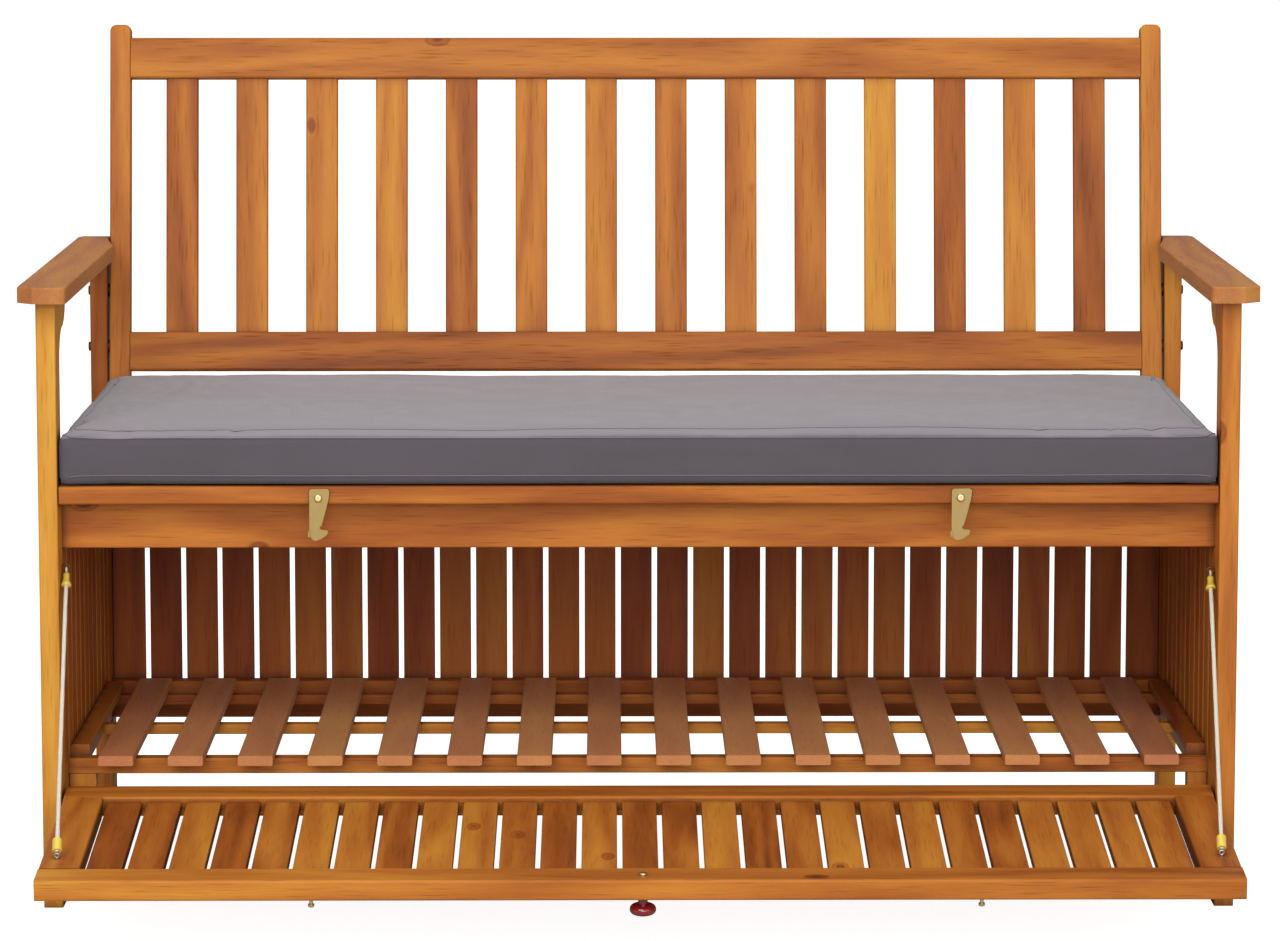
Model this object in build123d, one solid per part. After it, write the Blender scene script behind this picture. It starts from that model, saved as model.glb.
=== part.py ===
from build123d import *
import math
import os

# A slatted acacia garden bench with a storage box under its seat. Millimetres, +Z up, +X to the
# sitter's left as seen from the front. While it is modelled, Y = 0 is the front face of the front
# legs; everything is moved at the end so that the origin is the centre of the box's footprint.

# side frames
OUTER_X = 586.0
SIDE_THICK = 19.0
INNER_X = OUTER_X - SIDE_THICK
LEG_WIDTH = 38.0
REAR_LEG_Y = 529.0
LEG_TOP = 600.0
FLARE_START = 535.0
FLARE_REACH = 62.0
SIDE_BOTTOM_RAIL = (96.0, 138.0)
BOX_TOP_RAIL = (352.0, 400.0)
SIDE_BOARDS = 12
SIDE_PITCH = 41.5
BOARD_WIDTH = 33.5
BOARD_THICK = 10.0
EDGE = 1.8

# armrests
ARM_THICK = 16.0
ARM_OUT, ARM_IN = 601.0, 553.0
ARM_FRONT, ARM_REAR = -36.0, 570.0
DOWEL_R, DOWEL_HALF = 4.0, 12.0

# what a screw, bolt, dowel or pin hole has round its shank
PLAY = 0.05

# leaning back
LEAN = 8.8
BACK_FOOT = (505.5, 400.0)
BACK_THICK = 20.0
POST_X = (542.6, 564.6)
POST_SPAN = (5.0, 449.0)
BACK_TOP_RAIL = (390.7, 434.5)
BACK_BOTTOM_RAIL = (76.4, 118.3)
BACK_SLATS = 14
BACK_PITCH = 75.0
BACK_SLAT = (34.0, 12.0)

# seat
SEAT = (400.0, 418.0)
SEAT_FRONT = (2.0, 62.0)
SEAT_HALF = 566.0
SEAT_SLATS = 6
SEAT_SLAT_WIDTH = 62.0
SEAT_SLAT_PITCH = 72.0
APRON_Y = (40.0, 58.0)
BEARER_WIDTH = 20.0
BEARER_GAP = 0.2
BEARER_LOW = 360.0
MID_BEARER_X = 190.0

# back of the box
REAR_RAIL_Y = (520.0, 540.0)
REAR_BOTTOM_RAIL = (98.0, 138.0)
REAR_BOARDS = 29
REAR_PITCH = 39.2
REAR_BOARD_Z = (100.0, 398.0)
REAR_END = 566.8

# shelf, the floor of the box
SHELF = (136.0, 146.0)
SHELF_Y = (30.0, 490.0)
SHELF_SLATS = 16
SHELF_PITCH = 68.9
SHELF_SLAT_WIDTH = 34.4
SHELF_RAILS = {
    "shelf_front_rail": (72.0, 92.0, 15.4),
    "shelf_mid_rail": (264.0, 279.0, 10.5),
    "shelf_rear_rail": (442.0, 457.0, 10.5),
}
STRIP_WIDTH = 18.5
STRIP_Y = (95.0, 470.0)
CORNER_BLOCK = {-1: 27.0, 1: 20.0}

# drop-down front, stored open: it turns on pins in the front legs
PIVOT_Y, PIVOT_Z = 14.0, 104.0
DROOP = 5.6
FLAP_HALF = 564.5
FLAP_THICK = 20.0
FLAP_RAIL = 40.0
FLAP_REACH = 294.0
STILE_IN = 526.0
FLAP_SLATS = 27
FLAP_PITCH = 38.8
FLAP_SLAT = (33.7, 10.0)
FLAP_EDGE = 2.5
PIN_R = 3.0
PIN_BORE_R = 3.05
PIN_DEPTH = 25.0

# hook latches
HOOK_X = {"left": -313.0, "right": 314.0}
HOOK_Z = 406.5
HOOK_Y = (0.2, 1.7)
HOOK_SCREW_R = 2.0
HOOK_BORE_R = 2.05
CATCH_ASIDE, CATCH_BELOW = 5.0, 29.0
CATCH_OUT = 12.0

# knob: a short neck and a round disc, held by a screw from the inside
KNOB_X, KNOB_REACH = 2.0, 277.0
KNOB_NECK_R, KNOB_NECK = 4.5, 8.5
KNOB_DISC_R, KNOB_DISC, KNOB_ROUNDING = 12.4, 9.5, 4.6
KNOB_SCREW_R, KNOB_SCREW_IN = 2.0, 11.0
KNOB_HEAD_R, KNOB_HEAD = 4.0, 2.4

# round-head screws of the latches: shank radius, head radius, head height, cross recess
CATCH_R, CATCH_HEAD_R, CATCH_HEAD, CATCH_IN = 1.75, 3.0, 3.0, 12.0
HOOK_HEAD_R, HOOK_HEAD, HOOK_SCREW_IN = 4.0, 2.6, 20.0
RECESS = (4.0, 0.9, 1.0)

# stay cords
CORD_R = 2.0
CORD_BORE_R = 2.05
EYE_RING, EYE_WIRE = 3.2, 1.1
LOW_RING, LOW_WIRE, LOW_LIFT = 2.0, 0.9, 0.4
UPPER_EYE = {"left": (-562.5, 32.5, 334.0), "right": (562.5, 32.5, 329.5)}
LOWER_EYE = {"left": (-549.7, 224.0), "right": (549.0, 220.0)}
CORD_GAP = {"upper": 3.3, "lower": 2.2}
EYE_SHANK = 12.0
CLIP_R, CLIP_SPAN = 3.8, (4.0, 19.0)
FERRULE_R, FERRULE_SPAN = 4.6, (2.6, 16.0)

# cushion
CUSHION_HALF = 563.0
CUSHION_Y = (3.0, 505.0)
CUSHION_Z = (419.0, 471.0)

# machine bolts through the side frames, as (Y, Z)
BOLT_R, BOLT_TIP = 2.5, 545.0
BOLT_HEAD_R, BOLT_HEAD = 5.0, 2.5
RAIL_BOLTS = [
    (49.0, 376.0), (82.0, 128.3), (271.5, 130.7), (449.5, 130.7), (534.5, 118.0), (534.5, 376.0),
]
POST_BOLTS = [(536.0, 500.0), (542.0, 560.0)]

SIDES = {"left": -1, "right": 1}
nodes = {}


def span(a, b):
    """Middle and size of the stretch from a to b."""
    return (a + b) / 2, abs(b - a)


def board(x, y, z, along="X", radius=EDGE):
    """A wooden board between the given limits, with its long edges eased."""
    (mx, dx), (my, dy), (mz, dz) = span(*x), span(*y), span(*z)
    axis = {"X": Axis.X, "Y": Axis.Y, "Z": Axis.Z}[along]
    solid = Box(dx, dy, dz)
    return Pos(mx, my, mz) * fillet(solid.edges().filter_by(axis), radius)


def rod(start, end, radius):
    """A round bar from one point to another."""
    start, end = Vector(*start), Vector(*end)
    way = end - start
    plane = Plane(origin=start, z_dir=way)
    return plane * Cylinder(radius, way.length, align=(Align.CENTER, Align.CENTER, Align.MIN))


def row(count, pitch, middle=0.0):
    """Centres of a row of equal boards."""
    return [middle + pitch * (i - (count - 1) / 2) for i in range(count)]


def both(name, right):
    """Adds a right-hand piece and its mirror image."""
    nodes[name + "_right"] = right
    nodes[name + "_left"] = mirror(right, Plane.YZ)


def group(pieces):
    """Several separate solids in one node."""
    return Compound(children=[s for p in pieces for s in p.solids()])


def side_bolt(side, y, z, play=0.0):
    """The shank of one bolt through a side frame, or with some play its hole."""
    return rod((side * (BOLT_TIP - play), y, z), (side * (OUTER_X + 10 * play), y, z), BOLT_R + play)


# ---------------------------------------------------------------- side frames
def front_leg():
    mid_y = LEG_WIDTH + FLARE_REACH / 2
    mid_z = (FLARE_START + LEG_TOP) / 2
    with BuildSketch(Plane.YZ) as face:
        with BuildLine():
            Polyline((LEG_WIDTH, FLARE_START), (LEG_WIDTH, 0), (0, 0), (0, LEG_TOP))
            Line((0, LEG_TOP), (LEG_WIDTH + FLARE_REACH, LEG_TOP))
            lower = TangentArc((LEG_WIDTH, FLARE_START), (mid_y, mid_z), tangent=(0, 1))
            TangentArc((mid_y, mid_z), (LEG_WIDTH + FLARE_REACH, LEG_TOP), tangent=lower % 1)
        make_face()
    leg = Pos(INNER_X, 0, 0) * extrude(face.sketch, SIDE_THICK)
    long_edges = leg.edges().filter_by(Axis.Z)
    leg = fillet(long_edges, EDGE)
    leg -= dowel(LEG_WIDTH / 2, PLAY)
    leg -= rod((INNER_X - 1, PIVOT_Y, PIVOT_Z), (OUTER_X + 1, PIVOT_Y, PIVOT_Z), PIN_R + PLAY)
    return leg


def dowel(y, play=0.0):
    """A dowel that joins an armrest to the top of a leg, or with some play its hole."""
    x, half = (INNER_X + OUTER_X) / 2, DOWEL_HALF + play
    return rod((x, y, LEG_TOP - half), (x, y, LEG_TOP + half), DOWEL_R + play)


def side_frames():
    rear_y = (REAR_LEG_Y, REAR_LEG_Y + LEG_WIDTH)
    faces = (INNER_X, OUTER_X)
    rail_y = (LEG_WIDTH, REAR_LEG_Y)
    dowel_ys = (LEG_WIDTH / 2, sum(rear_y) / 2)
    rear_leg = board(faces, rear_y, (0, LEG_TOP), "Z") - dowel(dowel_ys[1], PLAY)
    middle = sum(rail_y) / 2
    boards = [
        board((INNER_X, INNER_X + BOARD_THICK), (y - BOARD_WIDTH / 2, y + BOARD_WIDTH / 2),
              (SIDE_BOTTOM_RAIL[1], BOX_TOP_RAIL[0]), "Z", 1.0)
        for y in row(SIDE_BOARDS, SIDE_PITCH, middle)
    ]
    both("front_leg", front_leg())
    both("rear_leg", rear_leg)
    both("side_top_rail", board(faces, rail_y, BOX_TOP_RAIL, "Y"))
    both("side_bottom_rail", board(faces, rail_y, SIDE_BOTTOM_RAIL, "Y"))
    both("side_boards", group(boards))
    pegs = [dowel(y) for y in dowel_ys]
    nodes["armrest_dowels"] = group(pegs + [mirror(p, Plane.YZ) for p in pegs])


def armrest():
    taper_start, taper_end = 451.0, 534.0
    front_cut, rear_cut = 16.0, 4.0
    post_clear = POST_X[1] + 0.9
    outline = Polyline(
        (ARM_IN, ARM_FRONT), (ARM_OUT - front_cut, ARM_FRONT), (ARM_OUT, ARM_FRONT + front_cut),
        (ARM_OUT, ARM_REAR - 3 * rear_cut), (ARM_OUT - rear_cut, ARM_REAR), (post_clear, ARM_REAR),
        (post_clear, taper_end), (ARM_IN, taper_start), close=True,
    )
    arm = Pos(0, 0, LEG_TOP) * extrude(make_face(outline), ARM_THICK)
    inner_corner = arm.edges().filter_by(Axis.Z).sort_by_distance((ARM_IN, ARM_FRONT, LEG_TOP))[0]
    arm = fillet(inner_corner, 7.0)
    arm = fillet(arm.faces().sort_by(Axis.Z)[-1].edges(), EDGE)
    for y in (LEG_WIDTH / 2, REAR_LEG_Y + LEG_WIDTH / 2):
        arm -= dowel(y, PLAY)
    return arm


# ---------------------------------------------------------------- leaning back
def lean(solid):
    """Stands a piece of the back frame on the seat and tips it backwards."""
    return Pos(0, *BACK_FOOT) * Rot(-LEAN, 0, 0) * solid


def back_frame():
    depth = (0, BACK_THICK)
    post = board(POST_X, depth, POST_SPAN, "Z")
    post = fillet(post.faces().sort_by(Axis.Z)[-1].edges().filter_by(Axis.Y), 7.0)
    both("back_post", lean(post))
    rail_x = (-POST_X[0], POST_X[0])
    nodes["back_top_rail"] = lean(board(rail_x, depth, BACK_TOP_RAIL, radius=3.0))
    nodes["back_bottom_rail"] = lean(board(rail_x, depth, BACK_BOTTOM_RAIL, radius=3.0))
    half, thick = BACK_SLAT[0] / 2, BACK_SLAT[1]
    inset = (BACK_THICK - thick) / 2
    slats = [
        board((x - half, x + half), (inset, inset + thick), (BACK_BOTTOM_RAIL[1], BACK_TOP_RAIL[0]), "Z")
        for x in row(BACK_SLATS, BACK_PITCH)
    ]
    nodes["back_slats"] = lean(group(slats))


# ---------------------------------------------------------------- seat
def seat():
    width = (-SEAT_HALF, SEAT_HALF)
    inside = (-INNER_X, INNER_X)
    nodes["seat_front_board"] = board(width, SEAT_FRONT, SEAT, radius=2.5)
    start = SEAT_FRONT[1] + SEAT_SLAT_PITCH - SEAT_SLAT_WIDTH
    nodes["seat_slats"] = group(
        board(width, (start + i * SEAT_SLAT_PITCH, start + i * SEAT_SLAT_PITCH + SEAT_SLAT_WIDTH), SEAT)
        for i in range(SEAT_SLATS)
    )
    nodes["apron"] = board(inside, APRON_Y, BOX_TOP_RAIL)
    side_x = INNER_X - BEARER_WIDTH / 2
    nodes["seat_bearers"] = group(
        board((x - BEARER_WIDTH / 2, x + BEARER_WIDTH / 2), (APRON_Y[1], REAR_RAIL_Y[0] - BEARER_GAP),
              (BEARER_LOW, SEAT[0]), "Y")
        for x in (-side_x, -MID_BEARER_X, MID_BEARER_X, side_x)
    )
    solid = Box(2 * CUSHION_HALF, CUSHION_Y[1] - CUSHION_Y[0], CUSHION_Z[1] - CUSHION_Z[0])
    solid = fillet(solid.edges(), 12.0)
    nodes["cushion"] = Pos(0, sum(CUSHION_Y) / 2, sum(CUSHION_Z) / 2) * solid


# ---------------------------------------------------------------- back and floor of the box
def box_back():
    inside = (-INNER_X, INNER_X)
    nodes["box_rear_top_rail"] = board(inside, REAR_RAIL_Y, BOX_TOP_RAIL)
    nodes["box_rear_bottom_rail"] = board(inside, REAR_RAIL_Y, REAR_BOTTOM_RAIL)
    depth = (REAR_RAIL_Y[1], REAR_RAIL_Y[1] + BOARD_THICK)
    spans = [[x - BOARD_WIDTH / 2, x + BOARD_WIDTH / 2] for x in row(REAR_BOARDS, REAR_PITCH)]
    spans[0][0], spans[-1][1] = -REAR_END, REAR_END
    nodes["box_rear_boards"] = group(board(x, depth, REAR_BOARD_Z, "Z", 1.0) for x in spans)


def shelf():
    for name, (front, rear, height) in SHELF_RAILS.items():
        nodes[name] = board((-INNER_X, INNER_X), (front, rear), (SHELF[0] - height, SHELF[0]), radius=1.0)
    half = SHELF_SLAT_WIDTH / 2
    nodes["shelf_slats"] = group(
        board((x - half, x + half), SHELF_Y, SHELF, "Y") for x in row(SHELF_SLATS, SHELF_PITCH)
    )
    strips, blocks = [], []
    front, rear, height = SHELF_RAILS["shelf_front_rail"]
    for side in SIDES.values():
        strips.append(board(sorted((side * (INNER_X - STRIP_WIDTH), side * INNER_X)), STRIP_Y, SHELF, "Y"))
        low = SIDE_BOTTOM_RAIL[0]
        x = sorted((side * (INNER_X - CORNER_BLOCK[side]), side * INNER_X))
        blocks.append(board(x, (front, rear), (low, SHELF[0] - height), "Z", 1.0))
    nodes["shelf_side_strips"] = group(strips)
    nodes["shelf_corner_blocks"] = group(blocks)


# ---------------------------------------------------------------- drop-down front
def on_flap(solid):
    """Takes a piece from the flap's own frame, where it lies flat with its front towards -Y and its
    hinge line on the X axis, to the open flap hanging on its stay cords."""
    return Pos(0, PIVOT_Y, PIVOT_Z) * Rot(DROOP, 0, 0) * solid


def flap_board(x, reach, half_thick=FLAP_THICK / 2, along="X", radius=FLAP_EDGE):
    return board(x, (-reach[1], -reach[0]), (-half_thick, half_thick), along, radius)


def flap():
    width = (-FLAP_HALF, FLAP_HALF)
    near = FLAP_RAIL / 2
    far = FLAP_REACH - FLAP_RAIL
    face = FLAP_THICK / 2
    rear = flap_board(width, (-near, near))
    for side in SIDES.values():
        rear -= rod((side * (FLAP_HALF - PIN_DEPTH), 0, 0), (side * (FLAP_HALF + 1), 0, 0), PIN_BORE_R)
    nodes["flap_rear_rail"] = on_flap(rear)

    front = flap_board(width, (far, FLAP_REACH))
    catch_reach = HOOK_Z - CATCH_BELOW - PIVOT_Z
    catches = []
    for hook_x in HOOK_X.values():
        at = Pos(hook_x + CATCH_ASIDE, -catch_reach, 0)
        tip, end = CATCH_IN - face, -face - CATCH_OUT
        head = rod((0, 0, end + CATCH_HEAD), (0, 0, end), CATCH_HEAD_R)
        head = fillet(head.faces().sort_by(Axis.Z)[0].edges(), CATCH_HEAD / 2)
        front -= at * rod((0, 0, tip + PLAY), (0, 0, -face - 1), CATCH_R + PLAY)
        catches.append(at * (rod((0, 0, tip), (0, 0, end + 1), CATCH_R) + head))
    nodes["flap_catch_screws"] = on_flap(group(catches))

    at = Pos(KNOB_X, -KNOB_REACH, 0)
    neck = rod((0, 0, -face), (0, 0, -face - KNOB_NECK - 1), KNOB_NECK_R)
    disc = rod((0, 0, -face - KNOB_NECK), (0, 0, -face - KNOB_NECK - KNOB_DISC), KNOB_DISC_R)
    disc = fillet(disc.edges().filter_by(GeomType.CIRCLE), KNOB_ROUNDING)
    tip = -face - KNOB_SCREW_IN
    screw = rod((0, 0, face), (0, 0, tip), KNOB_SCREW_R)
    screw_hole = rod((0, 0, face + 1), (0, 0, tip - PLAY), KNOB_SCREW_R + PLAY)
    head = rod((0, 0, face), (0, 0, face + KNOB_HEAD), KNOB_HEAD_R)
    head = fillet(head.faces().sort_by(Axis.Z)[-1].edges(), KNOB_HEAD / 2)
    nodes["knob"] = on_flap(at * (neck + disc - screw_hole))
    nodes["knob_screw"] = on_flap(at * (screw + head))
    nodes["flap_front_rail"] = on_flap(front - at * screw_hole)

    both("flap_stile", on_flap(flap_board((STILE_IN, FLAP_HALF), (near, far), along="Y")))
    half = FLAP_SLAT[0] / 2
    nodes["flap_slats"] = on_flap(group(
        flap_board((x - half, x + half), (near, far), FLAP_SLAT[1] / 2, "Y", 1.2)
        for x in row(FLAP_SLATS, FLAP_PITCH)
    ))
    pins = [
        rod((s * (FLAP_HALF - PIN_DEPTH + 1), PIVOT_Y, PIVOT_Z), (s * OUTER_X, PIVOT_Y, PIVOT_Z), PIN_R)
        for s in SIDES.values()
    ]
    nodes["flap_pivot_pins"] = group(pins)


# ---------------------------------------------------------------- hook latches
def hook(pivot_x):
    """A flat brass hook that hangs from its screw, with its mouth towards +X."""
    back, top = -8.7, 9.0
    outline = Polyline(
        (back, top), (9.0, top), (11.0, 7.0), (10.0, -2.0), (3.2, -26.9), (1.5, -28.2), (1.5, -29.8),
        (3.2, -31.2), (8.0, -31.6), (9.5, -32.6), (8.6, -36.0), (3.0, -40.0), (-3.0, -42.0),
        (-6.5, -40.0), (back, -36.0), close=True,
    )
    thick = HOOK_Y[1] - HOOK_Y[0]
    plate = Plane.XZ * extrude(make_face(outline), thick / 2, both=True)
    corners = plate.edges().filter_by(Axis.Y)
    plate = fillet(corners.sort_by_distance((back, 0, top))[0], 3.0)
    tab_x, tab_z, tab_tall = back - 0.5, -35.0, 6.0
    tab = Pos(tab_x, -2.4, tab_z) * Box(1.6, 3.4, tab_tall)
    foot = Pos(back + 0.2, 0, tab_z) * Box(3.0, thick, tab_tall)
    plate = plate + foot + tab - Rot(90, 0, 0) * Cylinder(HOOK_BORE_R, 4 * thick)
    return Pos(pivot_x, sum(HOOK_Y) / 2, HOOK_Z) * plate


def hooks():
    screws = []
    for side, x in HOOK_X.items():
        nodes["hook_" + side] = hook(x)
        under_head = HOOK_Y[0] - 0.1
        tip = SEAT_FRONT[0] + HOOK_SCREW_IN
        shank = rod((x, under_head - 0.5, HOOK_Z), (x, tip, HOOK_Z), HOOK_SCREW_R)
        head = rod((x, under_head, HOOK_Z), (x, under_head - HOOK_HEAD, HOOK_Z), HOOK_HEAD_R)
        head = fillet(head.faces().sort_by(Axis.Y)[0].edges(), 1.6)
        long, wide, deep = RECESS
        recess = Box(long, 2 * deep, wide) + Box(wide, 2 * deep, long)
        head -= Pos(x, under_head - HOOK_HEAD, HOOK_Z) * recess
        screws.append(shank + head)
        hole = rod((x, SEAT_FRONT[0] - 1, HOOK_Z), (x, tip + PLAY, HOOK_Z), HOOK_SCREW_R + PLAY)
        nodes["seat_front_board"] -= hole
    nodes["hook_screws"] = group(screws)


# ---------------------------------------------------------------- stay cords
def ring(centre, radius, wire):
    """The ring of a screw eye, facing forwards."""
    return Plane(origin=centre, z_dir=(0, 1, 0)) * Torus(radius, wire)


def stay_cords():
    upper, lower = [], []
    for side, sign in SIDES.items():
        eye = Vector(*UPPER_EYE[side])
        throat = eye + Vector(sign * EYE_RING, 0, 0)
        shank = rod((sign * (INNER_X + EYE_SHANK), eye.Y, eye.Z), throat, EYE_WIRE)
        upper.append(shank + ring(eye, EYE_RING, EYE_WIRE))
        leg_hole = rod((sign * (INNER_X + EYE_SHANK + PLAY), eye.Y, eye.Z), throat, EYE_WIRE + PLAY)
        nodes["front_leg_" + side] -= leg_hole

        x, reach = LOWER_EYE[side]
        face = FLAP_THICK / 2
        ring_height = face + LOW_RING + LOW_WIRE + LOW_LIFT
        tip = face - EYE_SHANK
        foot = rod((x, -reach, tip), (x, -reach, ring_height - LOW_RING), LOW_WIRE)
        lower.append(on_flap(foot + ring((x, -reach, ring_height), LOW_RING, LOW_WIRE)))
        flap_hole = rod((x, -reach, tip - PLAY), (x, -reach, face + 1), LOW_WIRE + PLAY)
        nodes["flap_stile_" + side] -= on_flap(flap_hole)

        top = eye - Vector(0, 0, EYE_RING)
        bottom = on_flap(Vertex(x, -reach, ring_height + LOW_RING)).center()
        way = (bottom - top).normalized()
        start, end = top + way * CORD_GAP["upper"], bottom - way * CORD_GAP["lower"]
        nodes["stay_cord_" + side] = rod(start, end, CORD_R)
        clip = rod(*(top + way * place for place in CLIP_SPAN), CLIP_R)
        ferrule = rod(*(bottom - way * place for place in FERRULE_SPAN), FERRULE_R)
        inner = rod(start - way, end + way, CORD_BORE_R)
        nodes["cord_clip_" + side] = clip - inner
        nodes["cord_ferrule_" + side] = fillet(ferrule.edges().filter_by(GeomType.CIRCLE), 0.8) - inner
        print(side, "stay cord", round((end - start).length, 1), "mm")
    nodes["cord_eyes_upper"] = group(upper)
    nodes["cord_eyes_lower"] = group(lower)


# ---------------------------------------------------------------- bolts
def bolts():
    """Furniture bolts through the side frames into the rails and the back posts."""
    shanks, washers = [], []
    for side, sign in SIDES.items():
        for y, z in RAIL_BOLTS + POST_BOLTS:
            shank = side_bolt(sign, y, z)
            head = rod((sign * OUTER_X, y, z), (sign * (OUTER_X + BOLT_HEAD), y, z), BOLT_HEAD_R)
            outer_face = head.faces().sort_by(Axis.X)[-1 if sign > 0 else 0]
            head = fillet(outer_face.edges(), 1.2)
            shanks.append(shank + head)
        for y, z in POST_BOLTS:
            disc = rod((sign * POST_X[1], y, z), (sign * INNER_X, y, z), 7.0)
            washers.append(disc - side_bolt(sign, y, z, PLAY))
        cut_by = {
            "side_top_rail_" + side: [0],
            "apron": [0],
            "side_bottom_rail_" + side: [1, 2, 3],
            "shelf_front_rail": [1],
            "shelf_mid_rail": [2],
            "shelf_rear_rail": [3],
            "rear_leg_" + side: [4, 5, 6, 7],
            "box_rear_bottom_rail": [4],
            "box_rear_top_rail": [5],
            "back_post_" + side: [6, 7],
        }
        places = RAIL_BOLTS + POST_BOLTS
        for name, which in cut_by.items():
            for i in which:
                nodes[name] -= side_bolt(sign, *places[i], PLAY)
    nodes["frame_bolts"] = group(shanks)
    nodes["back_washers"] = group(washers)


def main():
    side_frames()
    both("armrest", armrest())
    back_frame()
    seat()
    box_back()
    shelf()
    flap()
    hooks()
    stay_cords()
    bolts()

    firm = [piece for name, piece in nodes.items() if not name.startswith("stay_cord")]
    size = group(firm).bounding_box()
    centre = size.center()
    print("overall", size.size, "centre", centre)
    print("hinge pin at Y", round(PIVOT_Y - centre.Y, 3), "Z", PIVOT_Z)
    home = Pos(0, -centre.Y, 0)
    os.makedirs("parts", exist_ok=True)
    for name, piece in nodes.items():
        export_step(home * piece, f"parts/{name}.step")
    print(len(nodes), "nodes")


main()
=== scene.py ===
"""Looks for the slatted storage bench: oiled acacia boards, a padded grey cushion, white stay cords,
brass hooks and a red knob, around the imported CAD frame. Lengths are in metres, angles in radians."""

import math

import bmesh
import bpy
import numpy as np
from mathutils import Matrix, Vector
from mathutils.bvhtree import BVHTree


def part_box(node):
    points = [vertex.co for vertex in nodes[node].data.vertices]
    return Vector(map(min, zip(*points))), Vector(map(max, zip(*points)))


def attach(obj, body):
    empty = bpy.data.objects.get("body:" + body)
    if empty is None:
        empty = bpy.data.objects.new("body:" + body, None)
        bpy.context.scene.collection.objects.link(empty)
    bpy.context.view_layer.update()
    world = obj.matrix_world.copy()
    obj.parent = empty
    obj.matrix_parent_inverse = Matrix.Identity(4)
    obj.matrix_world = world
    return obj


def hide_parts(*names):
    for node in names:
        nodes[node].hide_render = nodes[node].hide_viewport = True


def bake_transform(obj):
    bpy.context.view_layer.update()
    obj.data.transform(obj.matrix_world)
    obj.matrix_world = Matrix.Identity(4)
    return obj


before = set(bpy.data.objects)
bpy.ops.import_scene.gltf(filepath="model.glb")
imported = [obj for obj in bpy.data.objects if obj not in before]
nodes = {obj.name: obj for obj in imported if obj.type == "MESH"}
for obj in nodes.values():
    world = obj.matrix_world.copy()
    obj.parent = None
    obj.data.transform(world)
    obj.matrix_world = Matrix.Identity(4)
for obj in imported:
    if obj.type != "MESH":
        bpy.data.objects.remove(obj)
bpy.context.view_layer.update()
scene = bpy.context.scene
MM = 0.001
DROOP = math.radians(5.6)  # of the open flap
LEAN = math.radians(8.8)  # of the back


# ------------------------------------------------------------------ shader helpers
class Tree:
    """A material's node tree with short ways to add nodes and link them."""

    def __init__(self, name):
        self.mat = bpy.data.materials.new(name)
        self.mat.use_nodes = True
        self.nt = self.mat.node_tree
        self.bsdf = self.nt.nodes["Principled BSDF"]

    def add(self, kind, **values):
        node = self.nt.nodes.new(kind)
        for key, value in values.items():
            setattr(node, key, value)
        return node

    def feed(self, socket, value):
        """Links a socket to the output given, or sets it to the value given."""
        if isinstance(value, bpy.types.NodeSocket):
            self.nt.links.new(value, socket)
        elif value is not None:
            socket.default_value = value

    def coordinate(self, kind="Object"):
        return self.add("ShaderNodeTexCoord").outputs[kind]

    def math(self, op, a, b=None, c=None, clamp=False):
        node = self.add("ShaderNodeMath", operation=op, use_clamp=clamp)
        for socket, value in zip(node.inputs, (a, b, c)):
            self.feed(socket, value)
        return node.outputs[0]

    def vector(self, op, a, b=None):
        node = self.add("ShaderNodeVectorMath", operation=op)
        self.feed(node.inputs[0], a)
        self.feed(node.inputs[1], b)
        return node.outputs["Value" if op == "DOT_PRODUCT" else "Vector"]

    def split(self, vector):
        """The three components of a vector, by axis name."""
        node = self.add("ShaderNodeSeparateXYZ")
        self.feed(node.inputs[0], vector)
        return dict(zip("XYZ", node.outputs))

    def join(self, *components):
        node = self.add("ShaderNodeCombineXYZ")
        for socket, value in zip(node.inputs, components):
            self.feed(socket, value)
        return node.outputs[0]

    def mix(self, factor, a, b, blend="MIX"):
        """Blends two colours; a colour mix has its colours on sockets 6 and 7 and its result on 2."""
        node = self.add("ShaderNodeMix", data_type="RGBA", blend_type=blend)
        self.feed(node.inputs[0], factor)
        self.feed(node.inputs[6], a)
        self.feed(node.inputs[7], b)
        return node.outputs[2]

    def ramp(self, factor, stops, smooth="LINEAR"):
        """stops = (place, colour) pairs."""
        node = self.add("ShaderNodeValToRGB")
        ramp = node.color_ramp
        ramp.interpolation = smooth
        while len(ramp.elements) < len(stops):
            ramp.elements.new(0.5)
        for element, (place, colour) in zip(ramp.elements, stops):
            element.position = place
            element.color = (*colour, 1)
        self.feed(node.inputs[0], factor)
        return node.outputs[0]

    def noise(self, where, scale, detail=3.0, rough=0.5):
        node = self.add("ShaderNodeTexNoise")
        self.feed(node.inputs["Vector"], where)
        node.inputs["Scale"].default_value = scale
        node.inputs["Detail"].default_value = detail
        node.inputs["Roughness"].default_value = rough
        return node.outputs["Fac"]

    def spots(self, where, scale, reach):
        """1 at scattered points, falling to 0 at reach (in cells) from each."""
        node = self.add("ShaderNodeTexVoronoi", feature="F1")
        self.feed(node.inputs["Vector"], where)
        node.inputs["Scale"].default_value = scale
        return self.math("SUBTRACT", 1.0, self.math("DIVIDE", node.outputs["Distance"], reach), clamp=True)

    def random3(self, number):
        """Three random numbers that belong to a number."""
        lot = self.add("ShaderNodeTexWhiteNoise", noise_dimensions="1D")
        self.feed(lot.inputs["W"], number)
        parts = self.add("ShaderNodeSeparateColor")
        self.feed(parts.inputs[0], lot.outputs["Color"])
        return parts.outputs

    def bump(self, height, distance):
        node = self.add("ShaderNodeBump")
        node.inputs["Strength"].default_value = 1.0
        node.inputs["Distance"].default_value = distance
        self.feed(node.inputs["Height"], height)
        self.feed(self.bsdf.inputs["Normal"], node.outputs[0])


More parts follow.
